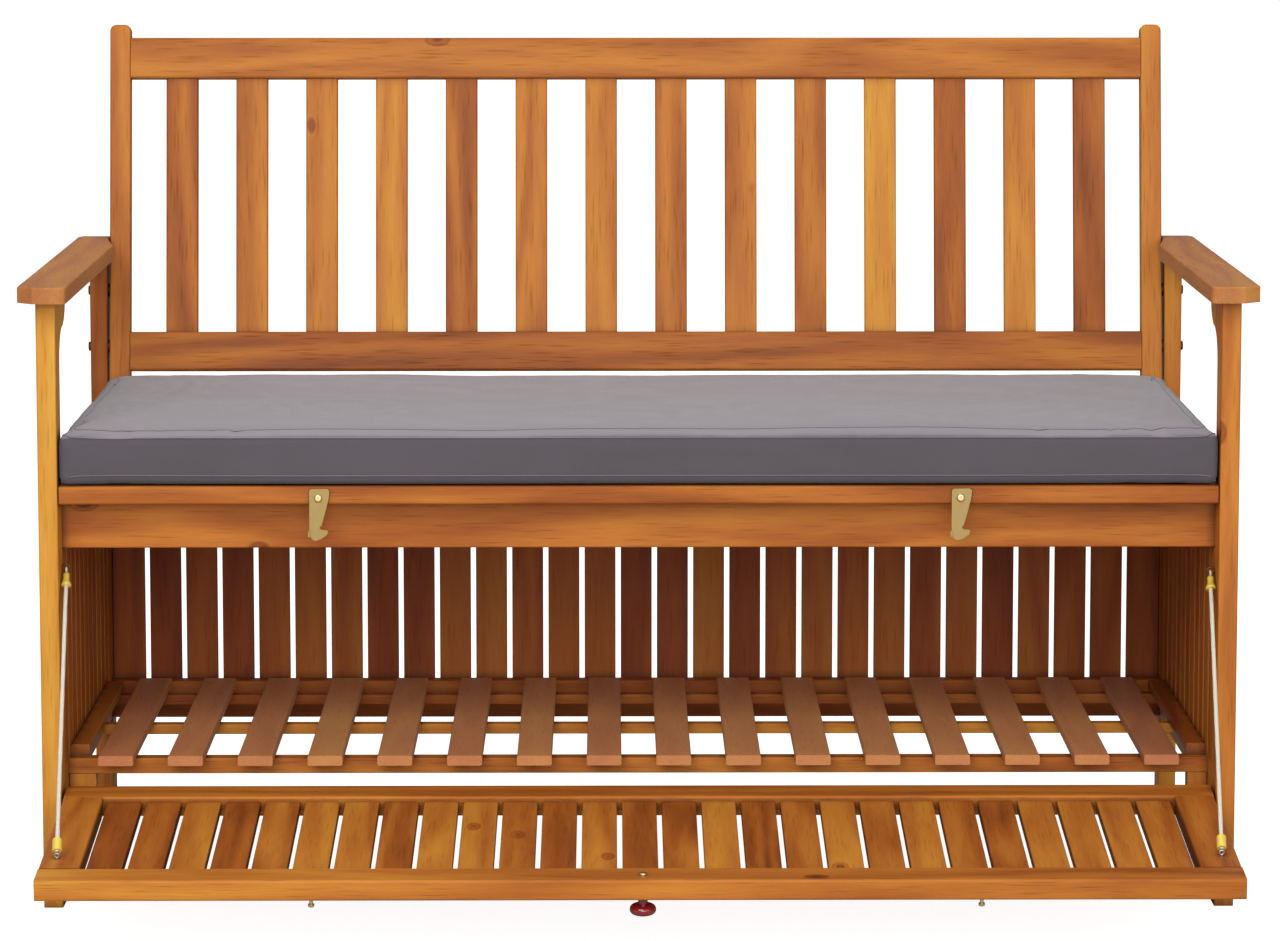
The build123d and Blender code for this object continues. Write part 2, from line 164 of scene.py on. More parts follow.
def srgb(r, g, b):
    """Linear colour of an 8-bit sRGB one."""
    return tuple(((c / 255) / 12.92) if c < 11 else (((c / 255) + 0.055) / 1.055) ** 2.4 for c in (r, g, b))


# ------------------------------------------------------------------ oiled acacia
DARK = srgb(106, 48, 12)
RED = srgb(160, 86, 28)
ORANGE = srgb(191, 117, 42)
HONEY = srgb(205, 141, 48)
AMBER = srgb(218, 166, 64)
WOOD_STOPS = ((0.0, DARK), (0.27, RED), (0.52, ORANGE), (0.75, HONEY), (1.0, AMBER))
END_GRAIN = srgb(150, 92, 48)
# painted shade: the colour that corners and crevices are darkened toward
CREVICE_SHADE_COLOUR = srgb(62, 24, 8)
# sizes of the log's features, as repeats per metre across the grain
WANDER_SCALE, PATCH_SCALE, STREAK_SCALE, FIBRE_SCALE = 9.0, 5.0, 55.0, 520.0
KNOT_SCALE, PORE_SCALE = 9.0, 330.0
KNOT_REACH, PORE_REACH = 0.085, 0.34
# how far the features are drawn out along the grain
GRAIN_STRETCH, KNOT_STRETCH, FIBRE_STRETCH, PORE_STRETCH = 0.11, 0.55, 0.35, 0.5
# each board is cut from its own place in the log, up to this far off
LOG_ACROSS, LOG_THROUGH, LOG_ALONG = 7.0, 5.0, 9.0
LOT_SHIFT = 0.37
# growth rings: how close they lie, and how the wandering grain and the knots bend them
RINGS_ACROSS, RINGS_THROUGH, RING_BEND = 14.0, 9.0, 6.5
WANDER_BEND, KNOT_BEND = 1.1, 0.35
# how much each feature changes the tone
PATCH_TONE, RING_TONE, STREAK_TONE, KNOT_TONE = 0.85, 0.17, 0.5, 0.55
PORE_SHADE, FIBRE_SHADE, END_SHADE, JOINT_SHADE = 0.26, 0.22, 0.35, 0.75
JOINT_REACH = 9 * MM
WOOD_ROUGH, STREAK_ROUGH, PORE_ROUGH = 0.40, 0.18, 0.15
WOOD_SPECULAR = 0.2
PORE_DEPTH, WOOD_RELIEF = 1.3, 0.22 * MM


def board_axes(t, tilt):
    """Components of the place, turned about X so that leaning boards stand along an axis."""
    place = t.coordinate()
    if tilt:
        turn = t.add("ShaderNodeVectorRotate", rotation_type="X_AXIS")
        t.feed(turn.inputs["Vector"], place)
        turn.inputs["Angle"].default_value = tilt
        place = turn.outputs[0]
    return t.split(place)


def either_way(t, value, share):
    """A 0-to-1 value as a change of up to half the share, darker or paler."""
    return t.math("MULTIPLY", t.math("SUBTRACT", value, 0.5), share)


def growth_rings(t, cut, u, v, near_knot):
    """0-to-1 bands along the board, bent by the grain's wander and around the knots."""
    wander = t.noise(cut, WANDER_SCALE, 2.0, 0.55)
    bend = t.math("ADD", t.math("MULTIPLY", wander, WANDER_BEND), t.math("MULTIPLY", near_knot, KNOT_BEND))
    across = t.math("ADD", t.math("MULTIPLY", u, RINGS_ACROSS), t.math("MULTIPLY", v, RINGS_THROUGH))
    phase = t.math("ADD", across, t.math("MULTIPLY", bend, RING_BEND))
    bands = t.math("SINE", t.math("MULTIPLY", phase, 2 * math.pi))
    return t.math("MULTIPLY_ADD", bands, 0.5, 0.5)


def board_tone(t, index, luck, tone, spread, tones):
    """The tone of a whole board: from the list, or tone with a random spread."""
    if tones:
        stops = [(i / len(tones), (k, k, k)) for i, k in enumerate(tones)]
        return t.ramp(t.math("DIVIDE", t.math("ADD", index, 0.5), float(len(tones))), stops, "CONSTANT")
    return t.math("MULTIPLY_ADD", t.math("SUBTRACT", luck, 0.5), 2 * spread, tone)


def darkened(t, colour, shade):
    """A colour times a grey."""
    grey = t.add("ShaderNodeCombineColor")
    for socket in grey.inputs:
        t.feed(socket, shade)
    return t.mix(1.0, colour, grey.outputs[0], "MULTIPLY")


def end_grain(t, grain, colour):
    """Faces across the grain are browner."""
    facing = t.split(t.coordinate("Normal"))
    ends = t.math("SUBTRACT", t.math("ABSOLUTE", facing[grain]), 0.75, clamp=True)
    ends = t.math("MULTIPLY", ends, 4.0, clamp=True)
    return t.mix(t.math("MULTIPLY", ends, END_SHADE), colour, (*END_GRAIN, 1))


def painted_crevice_shade(t, colour):
    """Painted shade: darkens the colour toward a dark brown in corners and crevices, as far as ambient
    occlusion finds them.
    """
    corner = t.add("ShaderNodeAmbientOcclusion", samples=4)
    corner.inputs["Distance"].default_value = JOINT_REACH
    crevice = t.math("MULTIPLY", t.math("SUBTRACT", 1.0, corner.outputs["AO"]), 1.5, clamp=True)
    return t.mix(t.math("MULTIPLY", crevice, JOINT_SHADE), colour, (*CREVICE_SHADE_COLOUR, 1))


def wood(name, grain="X", tone=0.5, spread=0.18, boards=None, seed=0.0, tilt=0.0, tones=None, over=None,
         drift=0.0):
    """Acacia whose grain runs along one axis of the frame. boards = (axis, pitch, first edge) makes each
    board of a group a piece of timber of its own; tones lists each board's tone, from dark red to amber;
    over = (share, colour) mixes in weathering, or painted shade and reflection; drift changes the tone
    along the board, per metre."""
    t = Tree(name)
    axes = board_axes(t, tilt)
    across, through = [axis for axis in "XYZ" if axis != grain]
    index = 0.0
    if boards:
        axis, pitch, first = boards
        index = t.math("FLOOR", t.math("DIVIDE", t.math("SUBTRACT", axes[axis], first), pitch))
    r1, r2, r3 = t.random3(t.math("ADD", index, seed + LOT_SHIFT))

    # the board in its log: u across the grain, v through it, w along it
    u = t.math("ADD", axes[across], t.math("MULTIPLY", r1, LOG_ACROSS))
    v = t.math("ADD", axes[through], t.math("MULTIPLY", r2, LOG_THROUGH))
    w = t.math("ADD", axes[grain], t.math("MULTIPLY", r3, LOG_ALONG))
    cut = t.join(u, v, t.math("MULTIPLY", w, GRAIN_STRETCH))
    near_knot = t.spots(t.join(u, v, t.math("MULTIPLY", w, KNOT_STRETCH)), KNOT_SCALE, KNOT_REACH)
    bands = growth_rings(t, cut, u, v, near_knot)
    patches = t.noise(cut, PATCH_SCALE, 3.0, 0.6)
    streaks = t.noise(cut, STREAK_SCALE, 4.0, 0.62)
    fibres = t.noise(t.vector("MULTIPLY", cut, (1.0, 1.0, FIBRE_STRETCH)), FIBRE_SCALE, 2.0, 0.7)
    pore = t.spots(t.vector("MULTIPLY", cut, (1.0, 1.0, PORE_STRETCH)), PORE_SCALE, PORE_REACH)

    # the tone of the board and of its patches, bands, streaks and knots together
    value = board_tone(t, index, r1, tone, spread, tones)
    if drift:
        value = t.math("MULTIPLY_ADD", axes[grain], drift, value)
    value = t.math("ADD", value, either_way(t, patches, PATCH_TONE))
    value = t.math("ADD", value, either_way(t, bands, RING_TONE))
    value = t.math("ADD", value, either_way(t, streaks, STREAK_TONE))
    value = t.math("SUBTRACT", value, t.math("MULTIPLY", near_knot, KNOT_TONE), clamp=True)
    colour = t.ramp(value, WOOD_STOPS)

    # dark pores and fine fibres, then weathering or painted shade and reflection, end grain, and painted
    # shade in the crevices
    shade = t.math("SUBTRACT", 1.0, t.math("MULTIPLY", pore, PORE_SHADE))
    shade = t.math("MULTIPLY", shade, t.math("MULTIPLY_ADD", fibres, FIBRE_SHADE, 1 - FIBRE_SHADE / 2))
    colour = darkened(t, colour, shade)
    # the mixed-in colour is weathering, or painted shade and reflection
    if over:
        share, wear_or_light_tint = over
        colour = t.mix(share, colour, (*wear_or_light_tint, 1))
    colour = painted_crevice_shade(t, end_grain(t, grain, colour))
    t.feed(t.bsdf.inputs["Base Color"], colour)
    gloss = t.math("MULTIPLY_ADD", streaks, STREAK_ROUGH, WOOD_ROUGH)
    t.feed(t.bsdf.inputs["Roughness"], t.math("ADD", gloss, t.math("MULTIPLY", pore, PORE_ROUGH)))
    t.bsdf.inputs["Specular IOR Level"].default_value = WOOD_SPECULAR
    t.bump(t.math("SUBTRACT", fibres, t.math("MULTIPLY", pore, PORE_DEPTH)), WOOD_RELIEF)
    return t.mat


def give(material, *names):
    """Puts a material on CAD nodes."""
    for name in names:
        obj = nodes[name]
        obj.data.materials.clear()
        obj.data.materials.append(material)
        obj.material_slots[0].link = "OBJECT"
        obj.material_slots[0].material = material


# ------------------------------------------------------------------ plain materials
def metal(name, colour, rough, scratch=0.0, metallic=1.0):
    """Worn metal; scratch is added to the depth of its fine marks."""
    t = Tree(name)
    place = t.coordinate()
    wear = t.noise(place, 260.0, 4.0, 0.6)
    marks = t.noise(t.vector("MULTIPLY", place, (900.0, 900.0, 60.0)), 1.0, 3.0, 0.6)
    worn = [c * 0.78 for c in colour]
    t.feed(t.bsdf.inputs["Base Color"], t.mix(wear, (*worn, 1), (*colour, 1)))
    t.bsdf.inputs["Metallic"].default_value = metallic
    t.feed(t.bsdf.inputs["Roughness"], t.math("MULTIPLY_ADD", wear, 0.22, rough - 0.08))
    t.bump(marks, 0.04 * MM + scratch)
    return t.mat


def glossy_knob():
    """Wood stained red under a clear lacquer."""
    t = Tree("red_stained_knob")
    grain = t.noise(t.vector("MULTIPLY", t.coordinate(), (60.0, 60.0, 400.0)), 1.0, 3.0, 0.6)
    t.feed(t.bsdf.inputs["Base Color"], t.mix(grain, (*srgb(92, 8, 12), 1), (*srgb(150, 22, 24), 1)))
    t.feed(t.bsdf.inputs["Roughness"], t.math("MULTIPLY_ADD", grain, 0.1, 0.16))
    t.bsdf.inputs["Coat Weight"].default_value = 0.6
    t.bump(grain, 0.05 * MM)
    return t.mat


THREAD = 1.3 * MM


def cloth():
    """Woven polyester cover of the cushion, painted paler where it faces up: a painted highlight for the
    light and sheen on its top.
    """
    t = Tree("cushion_cloth")
    place = t.coordinate()
    turns = 2 * math.pi / THREAD
    across, along, through = (
        t.math("SINE", t.vector("DOT_PRODUCT", place, way))
        for way in ((turns, 0, 0), (0, turns, 0), (0, 0, turns))
    )
    weave = t.math("MULTIPLY", t.math("MULTIPLY", across, along), through)
    blotch = t.noise(place, 6.0, 4.0, 0.6)
    slub = t.noise(t.vector("MULTIPLY", place, (240.0, 1900.0, 1900.0)), 1.0, 3.0, 0.6)
    tint = t.math("ADD", t.math("MULTIPLY", blotch, 0.6), t.math("MULTIPLY", slub, 0.4))
    side = t.mix(tint, (*srgb(80, 75, 80), 1), (*srgb(94, 88, 94), 1))
    # painted highlight: the colour of the top, paler than the sides for the light and sheen that fall on it
    painted_top_light = t.mix(tint, (*srgb(134, 128, 134), 1), (*srgb(150, 144, 149), 1))
    facing = t.split(t.coordinate("Normal"))
    top_light_share = t.math("MULTIPLY", t.math("SUBTRACT", facing["Z"], 0.45, clamp=True), 2.4, clamp=True)
    t.feed(t.bsdf.inputs["Base Color"], t.mix(top_light_share, side, painted_top_light))
    t.bsdf.inputs["Roughness"].default_value = 0.86
    t.bsdf.inputs["Specular IOR Level"].default_value = 0.18
    t.bsdf.inputs["Sheen Weight"].default_value = 0.25
    t.bsdf.inputs["Sheen Roughness"].default_value = 0.45
    t.bump(t.math("ADD", t.math("MULTIPLY", weave, 0.5), slub), 0.16 * MM)
    return t.mat


BRAID_ACROSS, BRAID_ALONG = 2600.0, 1900.0


def braid():
    """White braided cord: two sets of strands that cross."""
    t = Tree("white_braid")
    place = t.coordinate()
    left, right = (
        t.math("SINE", t.vector("DOT_PRODUCT", place, (lay * BRAID_ACROSS, BRAID_ALONG, BRAID_ALONG)))
        for lay in (1, -1)
    )
    plait = t.math("MULTIPLY", left, right)
    soft = t.math("MULTIPLY_ADD", plait, 0.5, 0.5)
    t.feed(t.bsdf.inputs["Base Color"], t.mix(soft, (*srgb(214, 204, 178), 1), (*srgb(250, 246, 232), 1)))
    t.bsdf.inputs["Roughness"].default_value = 0.7
    t.bump(plait, 0.3 * MM)
    return t.mat


# ------------------------------------------------------------------ wood on the CAD boards
# tones of the boards of each row, from the bench's left to its right
BACK_TONES = (0.4, 0.42, 0.46, 0.56, 0.34, 0.37, 0.44, 0.36, 0.47, 0.37, 0.58, 0.33, 0.42, 0.24)
BOX_TONES = (
    0.3, 0.14, 0.34, 0.2, 0.4, 0.46, 0.5, 0.22, 0.26, 0.5, 0.56, 0.36, 0.46, 0.52, 0.18,
    0.2, 0.46, 0.26, 0.28, 0.54, 0.4, 0.52, 0.26, 0.48, 0.16, 0.28, 0.26, 0.24, 0.3,
)
SHELF_TONES = (0.4, 0.6, 0.6, 0.74, 0.55, 0.64, 0.7, 0.56, 0.7, 0.64, 0.74, 0.66, 0.7, 0.62, 0.58, 0.3)
FLAP_TONES = (
    0.36, 0.42, 0.5, 0.22, 0.36, 0.44, 0.5, 0.34, 0.4, 0.46, 0.5, 0.3, 0.42, 0.36,
    0.32, 0.44, 0.38, 0.3, 0.46, 0.4, 0.48, 0.34, 0.4, 0.5, 0.42, 0.36, 0.4,
)
BACK_PITCH, BOX_PITCH, SHELF_PITCH, FLAP_PITCH = 75.0 * MM, 39.2 * MM, 68.9 * MM, 38.8 * MM
SEAT_ROW = ("Y", 72 * MM, -89.8 * MM)
SIDE_ROW = ("Y", 41.5 * MM, -122.32 * MM)
BEARER_ROW = ("X", 0.2, -0.7)
STRIP_ROW = ("X", 0.6, -0.6)
# painted shade and bounce light: the boards inside the box, under the seat, are mixed toward this dark red
INSIDE_SHADE_TINT = srgb(134, 52, 8)
PAINTED_INSIDE_SHADE = (0.5, INSIDE_SHADE_TINT)
BLEACHED = (0.2, srgb(190, 146, 112))
# painted reflection: the shelf slats are paled toward a mauve tan, for the grey light their tops reflect
SHELF_REFLECTION_TINT = (0.55, srgb(212, 146, 110))


def row(tones, pitch):
    """boards= value for a row of equal boards, as many as there are tones, centred on the bench."""
    return "X", pitch, -len(tones) * pitch / 2


def dress_frame():
    give(wood("wood_leg_fl", "Z", 0.6, seed=1.0), "front_leg_left")
    give(wood("wood_leg_fr", "Z", 0.42, seed=2.0), "front_leg_right")
    give(wood("wood_leg_rl", "Z", 0.34, seed=3.0), "rear_leg_left")
    give(wood("wood_leg_rr", "Z", 0.40, seed=4.0), "rear_leg_right")
    give(wood("wood_arm_l", "Y", 0.6, seed=5.0, over=BLEACHED), "armrest_left")
    give(wood("wood_arm_r", "Y", 0.56, seed=6.0, over=BLEACHED), "armrest_right")
    give(wood("wood_dowels", "Z", 0.8, seed=38.0), "armrest_dowels")
    for i, name in enumerate(("left", "right")):
        give(wood("wood_side_top_" + name, "Y", 0.34, seed=20.0 + i), "side_top_rail_" + name)
        give(wood("wood_side_low_" + name, "Y", 0.36, seed=22.0 + i), "side_bottom_rail_" + name)
        give(wood("wood_side_" + name, "Z", 0.56, 0.1, SIDE_ROW, seed=24.0 + i, over=PAINTED_INSIDE_SHADE),
             "side_boards_" + name)


def dress_back():
    give(wood("wood_post_l", "Z", 0.38, seed=7.0, tilt=LEAN), "back_post_left")
    give(wood("wood_post_r", "Z", 0.58, seed=8.0, tilt=LEAN), "back_post_right")
    give(wood("wood_back_top", "X", 0.46, seed=9.0), "back_top_rail")
    give(wood("wood_back_low", "X", 0.40, seed=10.0), "back_bottom_rail")
    give(wood("wood_back_slats", "Z", boards=row(BACK_TONES, BACK_PITCH), seed=11.0, tilt=LEAN,
              tones=BACK_TONES), "back_slats")


def dress_seat():
    give(wood("wood_seat_front", "X", 0.34, seed=12.0), "seat_front_board")
    give(wood("wood_seat", "X", 0.42, boards=SEAT_ROW, seed=13.0), "seat_slats")
    give(wood("wood_bearers", "Y", 0.4, boards=BEARER_ROW, seed=14.0), "seat_bearers")
    give(wood("wood_apron", "X", 0.48, seed=15.0, drift=-0.14), "apron")


def dress_box():
    give(wood("wood_rear_rail", "X", 0.3, seed=16.0), "box_rear_top_rail")
    give(wood("wood_rear_low", "X", 0.34, seed=17.0, over=PAINTED_INSIDE_SHADE), "box_rear_bottom_rail")
    give(wood("wood_box_boards", "Z", boards=row(BOX_TONES, BOX_PITCH), seed=18.0, tones=BOX_TONES,
              over=PAINTED_INSIDE_SHADE), "box_rear_boards")
    give(wood("wood_shelf_front", "X", 0.4, seed=30.0), "shelf_front_rail")
    give(wood("wood_shelf_mid", "X", 0.46, seed=31.0), "shelf_mid_rail")
    give(wood("wood_shelf_rear", "X", 0.4, seed=39.0, over=PAINTED_INSIDE_SHADE), "shelf_rear_rail")
    give(wood("wood_shelf", "Y", boards=row(SHELF_TONES, SHELF_PITCH), seed=32.0, tones=SHELF_TONES,
              over=SHELF_REFLECTION_TINT), "shelf_slats")
    give(wood("wood_shelf_strips", "Y", 0.3, boards=STRIP_ROW, seed=33.0, over=(0.3, INSIDE_SHADE_TINT)),
         "shelf_side_strips")
    give(wood("wood_blocks", "Z", 0.66, seed=34.0), "shelf_corner_blocks")


def dress_flap():
    for i, name in enumerate(("left", "right")):
        give(wood("wood_stile_" + name, "Y", 0.34, seed=26.0 + i, tilt=-DROOP), "flap_stile_" + name)
    give(wood("wood_flap_rear", "X", 0.44, seed=35.0), "flap_rear_rail")
    give(wood("wood_flap_front", "X", 0.34, seed=36.0, drift=-0.26), "flap_front_rail")
    give(wood("wood_flap_slats", "Y", boards=row(FLAP_TONES, FLAP_PITCH), seed=37.0, tilt=-DROOP,
              tones=FLAP_TONES), "flap_slats")


def dress_hardware(gold):
    brass = metal("brass", srgb(172, 146, 92), 0.45, 0.1 * MM, metallic=0.85)
    bright = metal("bright_brass", srgb(226, 204, 150), 0.3)
    dull = metal("tarnished_brass", srgb(120, 84, 44), 0.5)
    steel = metal("zinc_steel", srgb(190, 190, 192), 0.38)
    brown = metal("browned_steel", srgb(96, 62, 38), 0.5)
    give(brass, "hook_left", "hook_right")
    give(bright, "hook_screws", "flap_catch_screws", "knob_screw")
    give(dull, "cord_eyes_upper")
    give(steel, "flap_pivot_pins", "cord_eyes_lower")
    give(brown, "frame_bolts", "back_washers")
    give(gold, "cord_ferrule_left", "cord_ferrule_right")
    give(glossy_knob(), "knob")


# ------------------------------------------------------------------ new meshes
def mesh_object(name, verts, faces, material, smooth=True):
    mesh = bpy.data.meshes.new(name)
    mesh.from_pydata([tuple(v) for v in verts], [], faces)
    mesh.validate()
    if smooth:
        mesh.shade_smooth()
    mesh.materials.append(material)
    obj = bpy.data.objects.new(name, mesh)
    scene.collection.objects.link(obj)
    return obj


def tube(name, points, radii, material, around=12, closed=False):
    """A round tube through the points, with its own radius at each, capped at its ends."""
    points = [Vector(p) for p in points]
    count = len(points)
    verts, faces = [], []
    side = None
    for i, p in enumerate(points):
        before = points[i - 1] if closed or i else p
        after = points[(i + 1) % count] if closed or i < count - 1 else p
        way = (after - before).normalized()
        if side is None:
            side = way.orthogonal().normalized()
        side = (side - way * side.dot(way)).normalized()
        up = way.cross(side)
        for k in range(around):
            a = 2 * math.pi * k / around
            verts.append(p + (side * math.cos(a) + up * math.sin(a)) * radii[i])
    rings = count if closed else count - 1
    for i in range(rings):
        for k in range(around):
            j, n = (i + 1) % count, (k + 1) % around
            faces.append((i * around + k, i * around + n, j * around + n, j * around + k))
    if not closed:
        faces.append(tuple(reversed(range(around))))
        faces.append(tuple((count - 1) * around + k for k in range(around)))
    return mesh_object(name, verts, faces, material)


def axis_of(name):
    """Upper and lower end of the axis of a straight round CAD rod."""
    co = np.array([v.co for v in nodes[name].data.vertices], float)
    middle = co.mean(0)
    way = np.linalg.svd(co - middle, full_matrices=False)[2][0]
    along = (co - middle) @ way
    a, b = middle + way * along.min(), middle + way * along.max()
    top, low = (a, b) if a[2] > b[2] else (b, a)
    return Vector(top), Vector(low)


# ------------------------------------------------------------------ stay cords
CORD_R = 2.0 * MM
CORD_STEPS = 72
EYE_BAR = 3.3 * MM  # from the cord's end to the screw eye's wire
LOOP_R, LOOP_WIRE = 2.5 * MM, 1.2 * MM
LOOP_STEPS, LOOP_FROM, LOOP_TURN = 16, -60, 300
# the crimped end piece, flaring downwards: distance from the cord's end and radius there, in mm
CLIP_PROFILE = ((0.7, 2.3), (1.2, 3.1), (3, 3.5), (6, 3.1), (9, 3.5), (12, 4.4), (14.5, 5.2), (15.7, 5.0),
                (15.7, 2.3))


def cord_loop(name, top, way, material):
    """The cord's loop round the screw eye's wire, above its end piece."""
    bar = top - way * EYE_BAR
    across = Vector((1, 0, 0))
    points = []
    for i in range(LOOP_STEPS + 1):
        a = math.radians(LOOP_FROM + LOOP_TURN * i / LOOP_STEPS)
        points.append(bar + (-way * math.sin(a) + across.cross(way) * math.cos(a)) * LOOP_R)
    return tube(name, points, [LOOP_WIRE] * len(points), material, around=10)


def stay_cords(gold):
    white = braid()
    for side in ("left", "right"):
        node = "stay_cord_" + side
        top, low = axis_of(node)
        way = (low - top).normalized()
        span = (low - top).length
        line = [top + way * (span * i / CORD_STEPS) for i in range(CORD_STEPS + 1)]
        cord = tube("stay_cord_braid_" + side, line, [CORD_R] * len(line), white)
        loop = cord_loop("stay_cord_loop_" + side, top, way, white)
        clip_line = [top + way * d * MM for d, _ in CLIP_PROFILE]
        clip_radii = [r * MM for _, r in CLIP_PROFILE]
        clip = tube("cord_end_" + side, clip_line, clip_radii, gold, around=16)
        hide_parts(node)
        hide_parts("cord_clip_" + side)
        for piece in (cord, loop, clip):
            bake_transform(piece)


# ------------------------------------------------------------------ cushion
COVER_STEP = 5 * MM
COVER_EDGE = 8 * MM
COVER_INSET = Vector((0.0, 1.5, 0.0)) * MM  # the flat cover is smaller, then swells
COVER_TOP = Vector((0.0, 0.0, 3.0)) * MM
SWELL = 6 * MM
SWELL_FRAMES = 20
SIDE_SWELL = np.array([3.4, 0.3]) * MM
DOME = 3.0 * MM
DENT_SIZES = (9.0, 14.0, 22.0, 35.0)  # radians per metre
DENT_DEPTH = 16.0 * MM
PUCKER = 0.35 * MM
SIDE_SAG = 0.7 * MM
SEAT_GAP = 0.3 * MM
SEAM_CORNER = 18 * MM
SEAM_STEP = 7 * MM
SEAM_LIFT = 0.1 * MM
ARC_STEPS, ARC_STEP = 6, 15  # of a seam's corner, in degrees


def rounded_block(low, high, radius, step):
    """A closed box of square faces about step wide, with rounded edges."""
    bm = bmesh.new()
    bmesh.ops.create_cube(bm, size=1.0)
    size = high - low
    for v in bm.verts:
        v.co = Vector([low[i] + (v.co[i] + 0.5) * size[i] for i in range(3)])
    bmesh.ops.bevel(bm, geom=bm.edges[:], offset=radius, segments=3, affect="EDGES", profile=0.6)
    mesh = bpy.data.meshes.new("cushion")
    bm.to_mesh(mesh)
    bm.free()
    obj = bpy.data.objects.new("cushion_cover", mesh)
    scene.collection.objects.link(obj)
    remesh = obj.modifiers.new("remesh", "REMESH")
    remesh.mode = "VOXEL"
    remesh.voxel_size = step
    apply_modifiers(obj)
    return obj


def apply_modifiers(obj):
    graph = bpy.context.evaluated_depsgraph_get()
    made = bpy.data.meshes.new_from_object(obj.evaluated_get(graph))
    obj.modifiers.clear()
    obj.data = made


def coords(obj):
    co = np.empty(len(obj.data.vertices) * 3)
    obj.data.vertices.foreach_get("co", co)
    return co.reshape(-1, 3)


def set_coords(obj, co):
    obj.data.vertices.foreach_set("co", co.ravel())
    obj.data.update()


def inflate(obj, cap):
    """Lets the cover swell like a filled pad, and keeps each point within cap of where it was."""
    rest = coords(obj)
    mod = obj.modifiers.new("cloth", "CLOTH")
    cs = mod.settings
    cs.quality = 5
    cs.mass = 0.3
    cs.tension_stiffness = 12
    cs.compression_stiffness = 12
    cs.shear_stiffness = 6
    cs.bending_stiffness = 0.6
    cs.use_pressure = True
    cs.uniform_pressure_force = 4.0
    cs.effector_weights.gravity = 0.0
    mod.point_cache.frame_start = 1
    mod.point_cache.frame_end = SWELL_FRAMES
    for f in range(1, SWELL_FRAMES + 1):
        scene.frame_set(f)
    graph = bpy.context.evaluated_depsgraph_get()
    moved = np.array([v.co for v in obj.evaluated_get(graph).data.vertices], float)
    obj.modifiers.clear()
    scene.frame_set(1)
    shift = moved - rest
    far = np.linalg.norm(shift, axis=1)
    shift *= (cap * np.tanh(far / cap) / np.maximum(far, 1e-9))[:, None]
    return rest + shift


def fit_to_seat(co, middle, reach):
    """Stretches the cover so that it reaches as far as wanted from the middle, in X and in Y."""
    for axis in (0, 1):
        least, most = co[:, axis].min(), co[:, axis].max()
        stretch = 2 * reach[axis] / (most - least)
        co[:, axis] = middle[axis] + (co[:, axis] - (most + least) / 2) * stretch


def soften(co, middle, half):
    """A slight dome, soft dents of a pad that has been sat on, and small puckers along its edges."""
    x, y = ((co[:, k] - middle[k]) / half[k] for k in (0, 1))
    top = np.clip((co[:, 2] - middle[2]) / half[2], 0, 1)
    rng = np.random.default_rng(7)
    dents = np.zeros(len(co))
    for size in DENT_SIZES:
        a, b, c, d = rng.uniform(0, 6.28, 4)
        dents += np.sin(co[:, 0] * size + a + np.sin(co[:, 1] * size * 0.8 + b)) * np.sin(
            co[:, 1] * size * 1.3 + c + np.sin(co[:, 0] * size * 0.5 + d)) * DENT_DEPTH / (size + 4)
    rim = np.clip(np.maximum(np.abs(x) ** 40, np.abs(y) ** 16), 0, 1)
    puckers = np.sin(co[:, 0] * 170.0 + 2 * np.sin(co[:, 0] * 23.0)) * PUCKER
    co[:, 2] += top * ((1 - x**4) * (1 - y**4) * DOME + dents * (1 - 0.4 * rim) + puckers * rim)
    sag = np.clip(-y, 0, 1) ** 12 * (1 - top)
    co[:, 1] += sag * (np.sin(co[:, 0] * 11.0 + 1.0) + 1) * SIDE_SAG


def cushion():
    cover = cloth()
    low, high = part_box("cushion")
    obj = rounded_block(low + COVER_INSET, high - COVER_INSET - COVER_TOP, COVER_EDGE, COVER_STEP)
    set_coords(obj, inflate(obj, SWELL))
    co = coords(obj)
    middle, half = (np.array(low) + np.array(high)) / 2, (np.array(high) - np.array(low)) / 2
    # it fills the seat from leg to leg, and just behind the latches
    reach = half[:2] + SIDE_SWELL
    fit_to_seat(co, middle, reach)
    soften(co, middle, half)
    co[:, 2] = np.maximum(co[:, 2], low[2] + SEAT_GAP)
    co[:, :2] = np.clip(co[:, :2], middle[:2] - reach, middle[:2] + reach)
    set_coords(obj, co)
    obj.data.materials.clear()
    obj.data.materials.append(cover)
    obj.data.shade_smooth()
    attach(obj, "cushion")
    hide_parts("cushion")
    seams(obj, low, high, cover)


def seam_outline(middle, x, y, z):
    """A rectangle with round corners, seen from above."""
    outline = []
    for sx, sy, start in ((1, -1, -90), (1, 1, 0), (-1, 1, 90), (-1, -1, 180)):
        for i in range(ARC_STEPS + 1):
            a = math.radians(start + ARC_STEP * i)
            outline.append(Vector((middle.x + sx * (x - SEAM_CORNER) + SEAM_CORNER * math.cos(a),
                                   middle.y + sy * (y - SEAM_CORNER) + SEAM_CORNER * math.sin(a), z)))
    return outline


